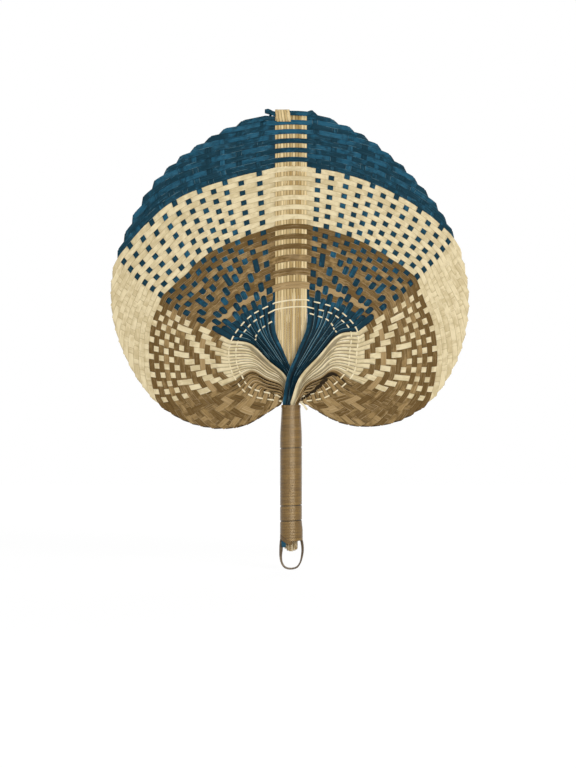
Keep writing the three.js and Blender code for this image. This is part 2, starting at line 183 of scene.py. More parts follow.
class Shader:
    """A material's node tree, built from expressions."""

    def __init__(self, name: str) -> None:
        """Starts an empty material of that name."""
        self.material = bpy.data.materials.new(name)
        self.material.use_nodes = True
        self.tree = self.material.node_tree
        self.tree.nodes.clear()

    def node(self, kind: str, settings: Optional[dict[str, Any]] = None,
             inputs: Optional[dict[Union[int, str], Any]] = None, output: Union[int, str] = 0) -> Wire:
        """Adds a node.

        Args:
            kind: The node's type.
            settings: Its own settings, set first.
            inputs: Values or links of its sockets.
            output: Which output to hand back.

        Returns:
            That output.
        """
        made = self.tree.nodes.new(kind)
        for key, value in (settings or {}).items():
            setattr(made, key, value)
        for key, value in (inputs or {}).items():
            if isinstance(value, Wire):
                self.tree.links.new(value.socket, made.inputs[key])
            else:
                made.inputs[key].default_value = value
        return Wire(self, made.outputs[output])

    def mix(self, factor: Value, first: Any, second: Any) -> Wire:
        """A colour between two colours."""
        return self.node("ShaderNodeMix", {"data_type": "RGBA"}, {0: factor, 6: first, 7: second}, 2)

    def step(self, value: Value, low: float, high: float) -> Wire:
        """An eased 0 to 1 as the value goes from low to high."""
        inputs = {"Value": value, "From Min": low, "From Max": high}
        return self.node("ShaderNodeMapRange", {"interpolation_type": "SMOOTHSTEP"}, inputs)

    def attribute(self, name: str) -> Wire:
        """One of the mesh's own numbers."""
        return self.node("ShaderNodeAttribute", {"attribute_name": name}, output="Fac")

    def grain(self, across: float, along: float, detail: float = 2.0, warp: float = 0.0) -> Wire:
        """Noise that follows a strip.

        Args:
            across: Size of its features across the strip, in millimetres.
            along: Their size along the strip.
            detail: How many finer layers it has.
            warp: How far it is distorted.

        Returns:
            The noise, about 0.5 on average.
        """
        place = self.node("ShaderNodeUVMap", {"uv_map": FIBRE_MAP})
        scale = (1 / across, 1 / along, 1.0)
        mapped = self.node("ShaderNodeVectorMath", {"operation": "MULTIPLY"}, {0: place, 1: scale})
        inputs = {"Vector": mapped, "Scale": 1.0, "Detail": detail, "Distortion": warp}
        return self.node("ShaderNodeTexNoise", {"noise_dimensions": "2D"}, inputs)

    def surface(self, colour: Wire, roughness: Value, shine: dict[str, Any], height: Wire,
                depth: float) -> bpy.types.Material:
        """Closes the tree with a surface.

        Args:
            colour: Its base colour.
            roughness: Its roughness.
            shine: How strongly it shines, and in which tint, by the names of the shader's sockets.
            height: The relief, from 0 to 1.
            depth: How deep the relief is, in millimetres.

        Returns:
            The material.
        """
        normal = self.node("ShaderNodeBump", inputs={"Distance": depth * MM, "Height": height})
        inputs = {"Base Color": colour, "Roughness": roughness, "Normal": normal, **shine}
        shaded = self.node("ShaderNodeBsdfPrincipled", inputs=inputs)
        self.node_output(shaded)
        return self.material

    def node_output(self, shaded: Wire) -> None:
        """Links a finished surface to the material's output."""
        end = self.tree.nodes.new("ShaderNodeOutputMaterial")
        self.tree.links.new(shaded.socket, end.inputs["Surface"])


@dataclass(frozen=True)
class LeafFinish:
    """Split leaf: fibres along the strip, uneven dye, dark seams at the edges painted as shade between
    strips, pale lips that are partly the raw cut edge and partly painted highlight, and painted shade in the
    depths.
    """

    name: str
    dark: Tint
    middle: Tint
    light: Tint
    # The seam colour is painted shade: dark lines between strips and, at half, the painted shade in hollows.
    # The cut colour is the pale raw cut edge, brightened as a painted highlight, on edge lines and lips.
    seam: Tint
    cut: Tint
    edge: float = 0.7
    pale_edge_share: float = 0.3
    wear: float = 0.3
    shine: float = 0.5
    streaks: float = 0.35
    # How dark the painted shade in hollows gets.
    depth: float = 0.85
    ior: float = 1.18
    sheen: Tint = (255, 255, 255)
    seam_width: float = 0.1
    relief: float = 0.12
    patch: Span = (7.0, 9.0)
    cloud: Span = (3.0, 4.5)
    fibre_size: tuple[float, ...] = (0.22, 14.0, 3.0)
    streak_size: tuple[float, ...] = (0.7, 26.0, 2.0, 0.3)
    bare_size: tuple[float, ...] = (60.0, 16.0, 1.0)
    bare_ease: float = 0.06
    dye_span: Span = (0.34, 0.66)
    pale_span: Span = (0.42, 0.78)
    dust_span: Span = (0.58, 0.74)
    middle_span: Span = (0.16, 0.02)
    lip_span: Span = (0.8, 0.84)
    hollow_shade_span: Span = (0.3, 1.1)

    def material(self) -> bpy.types.Material:
        """Makes the material."""
        shader = Shader(self.name)
        fibre = shader.grain(*self.fibre_size)
        streak = shader.grain(*self.streak_size)
        patch = shader.grain(*self.patch, 2.0)
        cloud = shader.grain(*self.cloud, 3.0, 0.4)
        tone = shader.attribute("tone")
        dye = shader.step(patch * 0.6 + cloud * 0.4 + tone * 0.4, *self.dye_span)
        deep = shader.mix(dye, srgb(*self.dark), srgb(*self.middle))
        pale = shader.step(streak * 0.55 + fibre * 0.45 + tone * 0.12, *self.pale_span) * self.streaks
        base = shader.mix(pale, deep, srgb(*self.light))
        dust = shader.step(fibre * 0.5 + cloud * 0.5, *self.dust_span) * self.wear
        worn = shader.mix(dust, base, srgb(*self.light))
        # Edge lines: the dark seam colour is painted shade between strips, and the pale cut colour is the
        # raw cut edge with a painted highlight. Wide strips get such a line down the middle.
        most = 0.7 - 0.4 * self.pale_edge_share
        bare = shader.step(shader.grain(*self.bare_size), most, most + self.bare_ease)
        line = shader.mix(bare, srgb(*self.seam), srgb(*self.cut))
        border = shader.step(shader.attribute("edge") + fibre * 0.06, 1 - self.seam_width, 1.0) * self.edge
        middle = shader.step(shader.attribute("edge"), *self.middle_span)
        middle = middle * shader.attribute("wide") * self.edge
        seamed = shader.mix(border + middle, worn, line)
        # Pale lip on a leg's front edge: partly the raw cut edge, partly painted highlight.
        lipped = shader.mix(shader.step(shader.attribute("lip"), *self.lip_span), seamed, srgb(*self.cut))
        # Painted shade in hollows, from the shade attribute: darker towards the covered edge of a strip.
        hollow_shade = shader.step(shader.attribute("shade"), *self.hollow_shade_span) * self.depth
        colour = shader.mix(hollow_shade, lipped, srgb(*(channel // 2 for channel in self.seam)))
        roughness = self.shine + 0.25 * (fibre - 0.5) + 0.15 * (cloud - 0.5)
        relief = fibre * 0.6 + streak * 0.4
        shine = {"IOR": self.ior, "Specular Tint": srgb(*self.sheen)}
        return shader.surface(colour, roughness, shine, relief, self.relief)


@dataclass
class Station:
    """One cross-section of a strip: its two edges, and the way that face one looks."""

    a: Vector
    b: Vector
    normal: Vector
    # Painted shade at edges a and b, and how strongly a pale lip, partly painted highlight, shows at edge a.
    shade_a: float = 0.0
    shade_b: float = 0.0
    lip: float = 0.0

    @property
    def centre(self) -> Vector:
        """The middle of the strip."""
        return (self.a + self.b) / 2


@dataclass(frozen=True)
class Ribbon:
    """A flat strip with crowned faces, lofted through a row of stations."""

    thickness: float
    crown: float
    across: int = 4
    two_faced: float = 0.0
    doubled: Span = (5.3, 6.3)

    def loft(self, stations: Sequence[Station], shift: float = 0.0, tone: float = 0.0) -> bmesh.types.BMesh:
        """Lofts the strip.

        Args:
            stations: Its cross-sections, in order.
            shift: Where on the fibre pattern the strip starts, in millimetres.
            tone: How much lighter or darker it is than its neighbours.

        Returns:
            A closed mesh, in millimetres.
        """
        bm = bmesh.new()
        around = 2 * (self.across + 1)
        rows = len(stations) - 1
        bmesh.ops.create_grid(bm, x_segments=around, y_segments=rows, size=1.0)
        uv = bm.loops.layers.uv.new(FIBRE_MAP)
        # shade carries painted shade and lip the pale lip that is partly painted highlight.
        layers = {key: bm.verts.layers.float.new(key) for key in ("edge", "tone", "shade", "lip", "wide")}
        lengths = self.lengths(stations)
        cells: dict[bmesh.types.BMVert, tuple[int, int]] = {}
        for vert in bm.verts:
            row = round((vert.co.y + 1) / 2 * rows)
            column = round((vert.co.x + 1) / 2 * around)
            cells[vert] = (row, column)
            share, face = self.place(column % around)
            station = stations[row]
            bulge = self.thickness / 2 + self.crown * (1 - (2 * share - 1) ** 2)
            vert.co = station.a.lerp(station.b, share) + station.normal * (face * bulge)
            vert[layers["edge"]] = abs(2 * share - 1)
            vert[layers["tone"]] = tone + self.two_faced * face
            vert[layers["shade"]] = lerp(station.shade_a, station.shade_b, share * share)
            vert[layers["lip"]] = station.lip * (1 - share)
            vert[layers["wide"]] = smoothstep((station.b - station.a).length, *self.doubled)
        for face in bm.faces:
            face.smooth = True
            for loop in face.loops:
                row, column = cells[loop.vert]
                share, _ = self.place(column % around)
                width = (stations[row].b - stations[row].a).length
                loop[uv].uv = ((share - 0.5) * width + shift, lengths[row] + shift)
        corners = {0, self.across, self.across + 1, around - 1}
        for edge in bm.edges:
            (_, first), (_, second) = (cells[vert] for vert in edge.verts)
            if first == second and first % around in corners:
                edge.smooth = False
        starts = {row: vert for vert, (row, column) in cells.items() if column == 0}
        seam = {vert: starts[row] for vert, (row, column) in cells.items() if column == around}
        bmesh.ops.weld_verts(bm, targetmap=seam)
        bmesh.ops.holes_fill(bm, edges=[edge for edge in bm.edges if edge.is_boundary], sides=0)
        bmesh.ops.recalc_face_normals(bm, faces=bm.faces)
        return bm

    def place(self, column: int) -> tuple[float, int]:
        """Where a column lies: its share of the way from edge a to b, and its face, 1 or -1."""
        if column <= self.across:
            return column / self.across, 1
        return 1 - (column - self.across - 1) / self.across, -1

    @staticmethod
    def lengths(stations: Sequence[Station]) -> list[float]:
        """How far along the strip each station is."""
        found = [0.0]
        for before, after in zip(stations, stations[1:]):
            found.append(found[-1] + (after.centre - before.centre).length)
        return found


class Bench:
    """Where a finished mesh becomes a piece of the fan."""

    @staticmethod
    def mesh(bm: bmesh.types.BMesh, name: str) -> bpy.types.Mesh:
        """Turns a shape into mesh data of that name."""
        made = bpy.data.meshes.new(name)
        bm.to_mesh(made)
        bm.free()
        return made

    @staticmethod
    def placed(name: str, data: bpy.types.ID) -> bpy.types.Object:
        """Puts an object with that data into the scene."""
        made = bpy.data.objects.new(name, data)
        bpy.context.scene.collection.objects.link(made)
        return made

    @staticmethod
    def joined(meshes: Sequence[bmesh.types.BMesh]) -> bmesh.types.BMesh:
        """Several loose shapes in one mesh."""
        whole = bmesh.new()
        for bm in meshes:
            part = Bench.mesh(bm, "part")
            whole.from_mesh(part)
            bpy.data.meshes.remove(part)
        return whole

    @staticmethod
    def piece(bm: bmesh.types.BMesh, name: str, material: bpy.types.Material, slot: str,
              nodes: Sequence[str] = (), body: Optional[Body] = Body.FAN) -> bpy.types.Object:
        """Makes an object of a mesh.

        Args:
            bm: The mesh, in millimetres.
            name: The piece's name.
            material: Its finish.
            slot: The record's slot for that finish; not used.
            nodes: The solids that it stands for.
            body: What it rides on, or None for a piece that rides on no body.

        Returns:
            The object.
        """
        bmesh.ops.scale(bm, vec=(MM, MM, MM), verts=bm.verts)
        mesh = Bench.mesh(bm, name)
        mesh.materials.append(material)
        made = Bench.placed(name, mesh)
        if body is not None:
            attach(made, body.value)
        if nodes:
            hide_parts(*nodes)
        LOG.info("%s: %d faces", name, len(mesh.polygons))
        return made


@dataclass(frozen=True)
class Gather:
    """How the legs of one lobe come together: where they merge, how they stack and which lie in front."""

    merge: Shares
    stack: Shares
    faces: dict[int, float]
    depth: float


@dataclass(frozen=True)
class Lobe:
    """One half of the blade: where each strip folds on the rim and where its ray leaves the weave."""

    side: int
    rim_shares: Shares
    throat_shares: Shares
    gather: Gather
    strips: int = 36
    per_colour: int = 12
    bow: float = 1.0
    bow_from: Span = (0.0, 3.0)
    bow_until: Span = (21.0, 30.0)
    bow_along: Shares = ((0, 0.4), (0.2, 0.95), (0.6, 1.35), (1, 0.55))
    first_fold: float = 0.3
    first_reach: float = 0.25
    colour_gap: float = 0.6
    crowding: Shares = ((0, 0.06), (36, 0.06))
    inner_arc: int = 30
    inner_spread: Shares = ((0, 0.35), (3, 0.25), (8, 0.15), (12, 0.08), (14, 0))
    clear_arcs: Shares = ((4, 0), (9, 0.7), (12, 1.9), (14, 2.8), (22, 2.8), (25, 1.6), (29, 0))
    width: float = 296.0
    height: float = 241.0

    def throat_index(self, n: float) -> float:
        """The arc number at which ray n reaches the throat: round the side the arcs stop short of it."""
        return self.strips + 1 + table(self.clear_arcs, n)

    def spread(self, a: float, n: float) -> float:
        """How far in arc a lies on ray n, in outer arcs: some of the innermost lie further apart."""
        return a + table(self.inner_spread, n) * max(0.0, a - self.inner_arc)

    def share(self, n: float, inward: float) -> float:
        """Share of the way round the lobe where ray n lies, with wider gaps between colours.

        Args:
            n: The ray's number.
            inward: The share of its way inwards. Rays bow outwards on their way.

        Returns:
            The share.
        """
        bands = self.strips // self.per_colour
        gaps = sum(clamp(n - band * self.per_colour) for band in range(1, bands))
        ends = smoothstep(n, *self.bow_from) * (1 - smoothstep(n, *self.bow_until))
        tight = self.first_fold * max(0.0, 1 - abs(n - 1)) * (1 - smoothstep(inward, 0, self.first_reach))
        place = n + self.colour_gap * gaps + self.bow * ends * table(self.bow_along, inward) - tight
        return clamp(place / (self.strips + self.colour_gap * (bands - 1)))

    def placed(self, shares: Shares) -> list[Vector]:
        """Points from shares of half the width and of the height."""
        half = self.side * self.width / 2
        return [Vector((out * half, 0, GRIP_TOP + up * self.height)) for out, up in shares]

    def throat(self, n: float) -> Vector:
        """Where ray n leaves the weave."""
        return curve_point(self.placed(self.throat_shares), self.share(n, 1))

    def weave(self, a: float, n: float) -> Vector:
        """Where arc a meets ray n."""
        rim_place = self.spread(n, n)
        inward = (self.spread(a, n) - rim_place) / (self.spread(self.throat_index(n), n) - rim_place)
        crowding = table(self.crowding, n)
        eased = inward * (1 - crowding + crowding * inward)
        share = self.share(n, eased)
        rim = curve_point(self.placed(self.rim_shares), share)
        return rim.lerp(curve_point(self.placed(self.throat_shares), share), eased)


LEFT = Lobe(
    -1,
    ((0.091, 1), (0.443, 0.905), (0.753, 0.751), (0.959, 0.51), (0.997, 0.336), (0.925, 0.166),
     (0.765, 0.014), (0.549, -0.07), (0.29, -0.083), (0.056, -0.005)),
    ((0.088, 0.344), (0.227, 0.298), (0.327, 0.224), (0.349, 0.156), (0.318, 0.088), (0.232, 0.026),
     (0.05, 0.003)),
    Gather(
        merge=((0, 1.5), (1, 0.5), (12, -4.5), (13, -5.0), (24, -7.2), (25, -7.4), (36, -8.0)),
        stack=((0, 4.0), (1, 3.0), (12, -1.0), (13, -1.5), (24, -4.0), (25, -4.4), (36, -6.2)),
        faces={13: 1.5},
        depth=0.7,
    ),
    bow=1.0,
    first_fold=0.5,
    crowding=((0, 0.06), (9, 0.05), (12, 0.15), (19, 0.12), (24, 0.22)),
)
RIGHT = Lobe(
    1,
    ((0.091, 1), (0.405, 0.908), (0.693, 0.757), (0.903, 0.571), (0.984, 0.376), (0.942, 0.18),
     (0.786, 0.014), (0.554, -0.07), (0.3, -0.072), (0.066, 0.002)),
    ((0.088, 0.354), (0.251, 0.324), (0.367, 0.253), (0.369, 0.173), (0.343, 0.092), (0.206, 0.021),
     (0.05, 0.002)),
    Gather(
        merge=((0, -3.5), (1, -1.2), (2, 0.8), (12, 6.6), (13, 8.7), (14, 9.5), (24, 12.5), (25, 12.3),
               (30, 10.5), (36, 8.2)),
        stack=((0, -8.0), (1, -5.0), (2, -3.1), (12, -0.8), (13, 1.3), (14, 2.2), (24, 3.6), (25, 4.6),
               (26, 5.4), (36, 6.6)),
        faces={1: 2.0, 13: 1.9, 25: 1.2},
        depth=-2.5,
    ),
    bow=0.65,
    bow_from=(1.0, 4.0),
    first_fold=0.6,
    crowding=((0, 0.06), (7, 0.07), (10, 0.12), (12, 0.16), (14, 0.06), (17, 0.11)),
)


@dataclass
class WovenStrips:
    """The 36 dyed strips: legs out of the grip, rays, folds on the rim and arcs over the spine."""

    width: float = 4.6
    widest_arc: float = 8.0
    closed: float = 0.515
    lap: float = 0.1
    thickness: float = 0.2
    crown: float = 0.06
    wave: float = 0.3
    spine_wave: float = 0.62
    ray_turn: Span = (0.12, 0.88)
    arc_turn: Span = (0.15, 0.85)
    # Painted shade: where strips pass behind others, past the weave, in packed legs, where a blue ray comes
    # out from under an arc, in the eyes and on the rim's folds.
    weave_shade: float = 0.5
    ring_shade: float = 1.0
    packed_shade: float = 1.5
    over_shade: float = 0.75
    over_ends: Span = (0.5, 0.95)
    eye_shade: Shares = ((12, 1.7), (14, 1.6), (24, 1.6), (26, 1.0))
    rim_shade: Shares = ((11, 0.6), (13, 0.3), (24, 0.3), (26, 0.95))
    twill_from: int = 31
    twill_repeat: int = 4
    twill_fronts: tuple[int, ...] = (1, 2)
    inner_arcs: tuple[tuple[int, float, float], ...] = ((37, 10.4, 25.6), (38, 12.4, 24.4))
    blue_floats: tuple[tuple[int, ...], ...] = ((33, 36), (31, 34), (31, 34, 36), (32, 35))
    arc_steps: int = 5
    ray_steps: int = 4
    leg_steps: int = 26
    fold_steps: int = 6
    tuck: float = 6.0
    tuck_in: float = 0.85
    leg_width: float = 3.4
    leg_pitch: float = 0.34
    pinch: float = 0.55
    # Where along a leg, from the throat at 0 to the grip at 1, each change happens.
    pinch_over: Span = (0.75, 1)
    narrow_over: Span = (0, 0.8)
    lean_over: Span = (0, 0.05)
    alone_over: Span = (0.3, 0.6)
    depth_over: Span = (0.03, 0.5)
    sink_over: Span = (0.2, 0.5)
    face_over: Span = (0.3, 0.75)
    room_over: Span = (0.1, 0.4)
    # How much of its width a leg shows at most, and what a sunk leg leaves to or takes from a neighbour.
    room_shares: Span = (0.8, 0.5)
    sunk_gains: Span = (0.4, 0.25)
    merge_bend: float = 0.48
    nearby: float = 0.01
    least_seen: float = 0.2
    first_column: float = 0.25
    leg_angles: Shares = ((1, -89), (4, -72), (7, -58), (9, -35), (11, -15), (13, -8), (18, 0), (22, 12),
                          (25, 35), (28, 52), (32, 68), (36, 80))
    leg_leaves: Shares = ((0, 23), (1, 22), (6, 15), (10, 14), (13, 17), (18, 20), (24, 16), (30, 11),
                          (36, 3))
    merge_height: Shares = ((0, 23), (1, 22), (12, 21), (13, 20.5), (24, 15), (25, 14), (30, 9.5), (36, 3.5))
    # Pale lips on the legs' front edges: partly the raw cut edge, partly painted highlight.
    lips: tuple[float, ...] = (1.0, 0.55, 0.95, 0.7, 1.0)
    lip_over: Span = (0.02, 0.12)
    lip_room: Span = (0.3, 1.1)
    lip_level: float = 0.83
    lip_share: float = 0.15
    face_depth: float = 1.9
    # Some legs sink behind their neighbours, and are painted dark as the shade they sit in.
    sunk: tuple[int, ...] = (3, 6, 9, 12, 15, 17, 19, 21, 23, 26, 28, 30, 32, 34)
    sunk_depth: float = 0.6
    sunk_shade: Shares = ((24, 1), (26, 0.45))
    first_lift: float = 1.9
    lift_reach: float = 0.8
    blunt_end: float = 0.1
    blunt_at: float = 0.3
    bridge_rise: Span = (0.6, 1.5)
    bridge_shares: tuple[float, ...] = (0.15, 0.3, 0.45, 0.55, 0.7, 0.85)
    corners: Shares = ((10, 1.0), (14, 0.45), (23, 0.45), (27, 0.75))
    corner_jitter: float = 0.5
    fold_room: float = 0.12
    give: float = 0.24
    tones: dict[int, float] = field(default_factory=lambda: {35: 1.2})
    two_faced: dict[Dye, float] = field(default_factory=lambda: dict(zip(Dye, (0.1, 0.0, -0.2))))
    spread: dict[Dye, float] = field(default_factory=lambda: dict(zip(Dye, (0.5, 0.2, 0.5))))
    shift: float = 53.0
    short_shift: float = 31.0
    seed: int = 7

    def in_front(self, a: int, n: int) -> bool:
        """Whether ray n passes in front of arc a: plain weave, then twill in the innermost arcs."""
        if a < self.twill_from or n == 1:
            return (a + n) % 2 == 0
        if n <= LEFT.per_colour and a <= LEFT.strips:
            return a in self.blue_floats[n % len(self.blue_floats)]
        return (a - n) % self.twill_repeat in self.twill_fronts

    def ray_side(self, a: int, n: int) -> float:
        """How far back ray n lies at arc a."""
        if a <= n:
            return self.wave
        if a > LEFT.strips and not any(a == arc and low < n < high for arc, low, high in self.inner_arcs):
            return 0.0
        return -self.wave if self.in_front(a, n) else self.wave

    def arc_side(self, a: int, n: int) -> float:
        """How far back arc a lies at ray n, or at the spine for n 0."""
        if n >= a:
            return -self.wave
        if n <= 0:
            return -self.spine_wave if a % 2 else self.spine_wave
        return self.wave if self.in_front(a, n) else -self.wave

    def ray_level(self, a: float, n: int) -> float:
        """How far back ray n lies between two arcs."""
        first = math.floor(a)
        share = smoothstep(a - first, *self.ray_turn)
        return lerp(self.ray_side(first, n), self.ray_side(first + 1, n), share)

    def arc_level(self, a: int, n: float) -> float:
        """How far back arc a lies between two rays."""
        first = math.floor(n)
        share = smoothstep(n - first, *self.arc_turn)
        return lerp(self.arc_side(a, first), self.arc_side(a, first + 1), share)

    def half_arc(self, lobe: Lobe, a: float, n: float) -> float:
        """Half an arc's width, counted in arcs: they just overlap."""
        pitch = (lobe.weave(a + 0.5, n) - lobe.weave(a - 0.5, n)).length
        return min(self.closed, self.widest_arc / 2 / pitch)

    def half_ray(self, lobe: Lobe, a: float, n: float) -> float:
        """Half a ray's width, counted in rays."""
        after = min(n + 0.5, lobe.strips)
        span = (lobe.weave(a, after) - lobe.weave(a, n - 0.5)).length
        half = self.width / 2 / span * (after - n + 0.5)
        return min(self.closed, lerp(half, self.closed, smoothstep(a, lobe.strips - 0.5, lobe.strips + 1)))

    def lifted(self, lobe: Lobe, i: int, n: float) -> Vector:
        """How far strip i stands above its place: the left end of the topmost one is loose."""
        if i > 1 or lobe is RIGHT:
            return Vector()
        return UP * (self.first_lift * smoothstep(n, 0, self.lift_reach))

    def receding(self, lobe: Lobe, a: int, n: float, way: int) -> float:
        """How far arc a's edge gives way, in arcs, to a blue ray that passes in front of the next arc."""
        ray = round(n)
        if a < self.twill_from - 1 or not 1 < ray <= LEFT.per_colour:
            return 0.0
        if self.in_front(a, ray) or not self.in_front(a + way, ray):
            return 0.0
        half = self.half_ray(lobe, a, ray)
        return self.give * (1 - smoothstep(abs(n - ray), 0.5 * half, half))

    def arc_station(self, lobe: Lobe, a: int, n: float) -> Station:
        """A cross-section of arc a."""
        half = self.half_arc(lobe, a, n)
        level = self.arc_level(a, n)
        place = AWAY * level + self.lifted(lobe, a, n)
        lap = AWAY * self.lap
        # Painted shade where the arc passes behind a ray.
        shade = self.weave_shade * smoothstep(level, 0, self.wave)
        edge_a = lobe.weave(a - half + self.receding(lobe, a, n, -1), n) + place - lap
        edge_b = lobe.weave(a + half - self.receding(lobe, a, n, 1), n) + place + lap
        return Station(edge_a, edge_b, -AWAY, shade, shade)

    def overhang_shadow(self, a: float, n: int) -> float:
        """The painted shadow of the arc above on a blue ray, where the ray comes out from behind it."""
        first = math.floor(a)
        if n > LEFT.per_colour or self.ray_side(first, n) <= 0 or self.ray_side(first + 1, n) >= 0:
            return 0.0
        return self.over_shade * (1 - smoothstep(a - first, *self.over_ends))

    def ray_station(self, lobe: Lobe, a: float, n: int) -> Station:
        """A cross-section of ray n. The first one reaches the spine where it leaves the weave."""
        half = self.half_ray(lobe, a, n)
        inner = half if n > 1 else lerp(half, 1, smoothstep(a, lobe.strips - 2, lobe.strips))
        level = self.ray_level(a, n)
        place = AWAY * level
        # Painted shade where the ray passes behind an arc or comes out from under the one above, and along
        # its edge b past the weave.
        shade = max(self.weave_shade * smoothstep(level, 0, self.wave), self.overhang_shadow(a, n))
        clear = self.ring_shade * smoothstep(a, lobe.strips + 0.3, lobe.strips + 1)
        edge_a = lobe.weave(a, n - inner) + place
        edge_b = lobe.weave(a, n + half) + place
        return Station(edge_a, edge_b, AWAY, shade, max(shade, clear))

    @staticmethod
    def blunt(lobe: Lobe, i: int) -> bool:
        """Whether strip i's fold stands away as a blunt end."""
        return i == 1 and lobe is LEFT

    def fold_stations(self, lobe: Lobe, i: int) -> list[Station]:
        """The mitre fold on the rim, from the ray behind to the arc in front."""
        half_arc = self.half_arc(lobe, i, i)
        half_ray = self.half_ray(lobe, i, i)
        lift = self.lifted(lobe, i, i)
        chance = random.Random(100 * i + lobe.side)
        pull = table(self.corners, i) * chance.uniform(1 - self.corner_jitter, 1)
        across = (self.blunt_end, -self.blunt_end) if self.blunt(lobe, i) else (1.0, 1.0)
        edge_a = lobe.weave(i - half_arc * pull, i - half_ray * across[0]) + lift
        edge_b = lobe.weave(i + half_arc, min(i + half_ray * across[1], lobe.strips)) + lift
        inside = lobe.weave(i + half_arc, i - half_ray) + lift
        outward = (edge_b - edge_a).cross(AWAY).normalized()
        if outward.dot(inside - edge_a) > 0:
            outward.negate()
        # Painted shade along the fold on the rim.
        shade = table(self.rim_shade, i)
        found = []
        for step in range(self.fold_steps + 1):
            angle = math.pi * step / self.fold_steps
            normal = AWAY * math.cos(angle) + outward * math.sin(angle)
            out = normal * self.wave
            found.append(Station(edge_a + out, edge_b + out, normal, shade, shade))
        return found

    def leg_point(self, lobe: Lobe, f: float, n: float) -> Vector:
        """The middle of leg n at a share f of its way from the throat into the grip."""
        start = lobe.throat(n)
        angle = math.radians(table(self.leg_angles, n))
        away = Vector((-lobe.side * math.cos(angle), 0, math.sin(angle)))
        bend = start + away * table(self.leg_leaves, n)
        merged = table(lobe.gather.merge, n)
        merge = Vector((merged, 0, GRIP_TOP + table(self.merge_height, n)))
        stacked = table(lobe.gather.stack, n)
        end = Vector((stacked, 0, GRIP_TOP))
        return curve_point((start, bend, bend.lerp(merge, self.merge_bend), merge, end), f)

    def sinking(self, f: float, n: int) -> float:
        """How far leg n sinks behind its neighbours, where they are packed."""
        return smoothstep(f, *self.sink_over) if n in self.sunk else 0.0

    def leg_rooms(self, lobe: Lobe, f: float, n: int, across: Vector) -> list[float]:
        """How far leg n shows to each side before its neighbours cover it."""
        centre = self.leg_point(lobe, f, n)
        faces = lobe.gather.faces
        rooms = []
        for other in (n - 1, n + 1):
            room = abs((self.leg_point(lobe, f, other) - centre).dot(across))
            widest = self.width * lerp(*self.room_shares, smoothstep(f, *self.room_over))
            gain, loss = self.sunk_gains
            lap = 1 + gain * self.sinking(f, other) - loss * self.sinking(f, n)
            most = min(room, self.width) if other == 0 else min(room * self.closed * lap, widest)
            rooms.append(lerp(most, faces[n], smoothstep(f, *self.face_over)) if n in faces else most)
        return rooms

    def leg_station(self, lobe: Lobe, f: float, n: int) -> Station:
        """A cross-section of leg n, which laps its neighbours and stands on edge where they are packed."""
        ahead = self.leg_point(lobe, min(f + self.nearby, 1), n)
        along = (ahead - self.leg_point(lobe, max(f - self.nearby, 0), n)).normalized()
        centre = self.leg_point(lobe, f, n)
        across = along.cross(AWAY).normalized()
        if across.dot(self.leg_point(lobe, f, n + 0.5) - self.leg_point(lobe, f, n - 0.5)) < 0:
            across.negate()
        rooms = self.leg_rooms(lobe, f, n, across)
        shown = sum(rooms)
        ring = self.half_ray(lobe, lobe.throat_index(n), n)
        at_ring = (lobe.throat(n + ring) - lobe.throat(n - ring)).length
        pinch = lerp(1, self.pinch, smoothstep(f, *self.pinch_over))
        width = max(shown, pinch * lerp(at_ring, self.leg_width, smoothstep(f, *self.narrow_over)))
        lean = clamp(self.leg_pitch / max(shown, self.leg_pitch)) * smoothstep(f, *self.lean_over)
        lapped = max(shown, width * math.sqrt(1 - lean * lean))
        in_face = n in lobe.gather.faces
        alone = smoothstep(f, *self.alone_over) if in_face else float(n == lobe.strips)
        reach = lerp(lapped, shown, alone)
        rise = AWAY * (math.sqrt(width * width - reach * reach) / 2)
        depth = lobe.gather.depth
        if in_face:
            depth -= self.face_depth
        sunk = self.sinking(f, n)
        back = AWAY * (pinch * depth * smoothstep(f, *self.depth_over) + self.sunk_depth * sunk)
        edge_a = centre - across * rooms[0] - rise + back
        edge_b = edge_a + across * reach + 2 * rise
        normal = along.cross(edge_b - edge_a).normalized() * -lobe.side
        twist = clamp(rise.y * 2 / width)
        seen = max(self.least_seen, shown / reach)
        # A pale lip on the front edge, partly the raw cut edge and partly painted highlight.
        lip = self.lips[n % len(self.lips)] * smoothstep(f, *self.lip_over)
        lip *= smoothstep(shown, *self.lip_room) * (1 - sunk)
        lip *= self.lip_level / (1 - self.lip_share * seen)
        # Painted shade towards edge b, where the next leg covers this one, and over the whole of a sunk leg.
        hollow_shade = lerp(self.ring_shade, self.packed_shade, twist) * table(self.eye_shade, n)
        hollow_shade /= seen * max(self.first_column, seen)
        return Station(edge_a, edge_b, normal, sunk * table(self.sunk_shade, n), hollow_shade, lip)

    def half(self, lobe: Lobe, i: int) -> list[Station]:
        """Half of strip i, from its end in the grip to the edge of the spine."""
        legs = [self.leg_station(lobe, step / self.leg_steps, i) for step in range(self.leg_steps, 0, -1)]
        drop = UP * (GRIP_TOP - self.tuck)
        inner = Vector((self.tuck_in, self.tuck_in, 0))
        tail = Station(legs[0].a * inner + drop, legs[0].b * inner + drop, legs[0].normal)
        found = [tail, *legs]
        start = i + self.half_arc(lobe, i, i) + self.fold_room + self.blunt(lobe, i)
        end = lobe.throat_index(i)
        count = max(1, math.ceil((end - start) * self.ray_steps))
        for step in range(count, -1, -1):
            found.append(self.ray_station(lobe, lerp(start, end, step / count), i))
        if self.blunt(lobe, i):
            back = self.arc_station(lobe, i, self.blunt_at)
            gap = AWAY * (2 * self.wave)
            found.append(Station(back.a + gap, back.b + gap, AWAY))
        found += self.fold_stations(lobe, i)
        first = i - self.half_ray(lobe, i, i) - self.fold_room
        count = max(1, math.ceil(first * self.arc_steps))
        for step in range(count, -1, -1):
            found.append(self.arc_station(lobe, i, first * step / count))
        return found

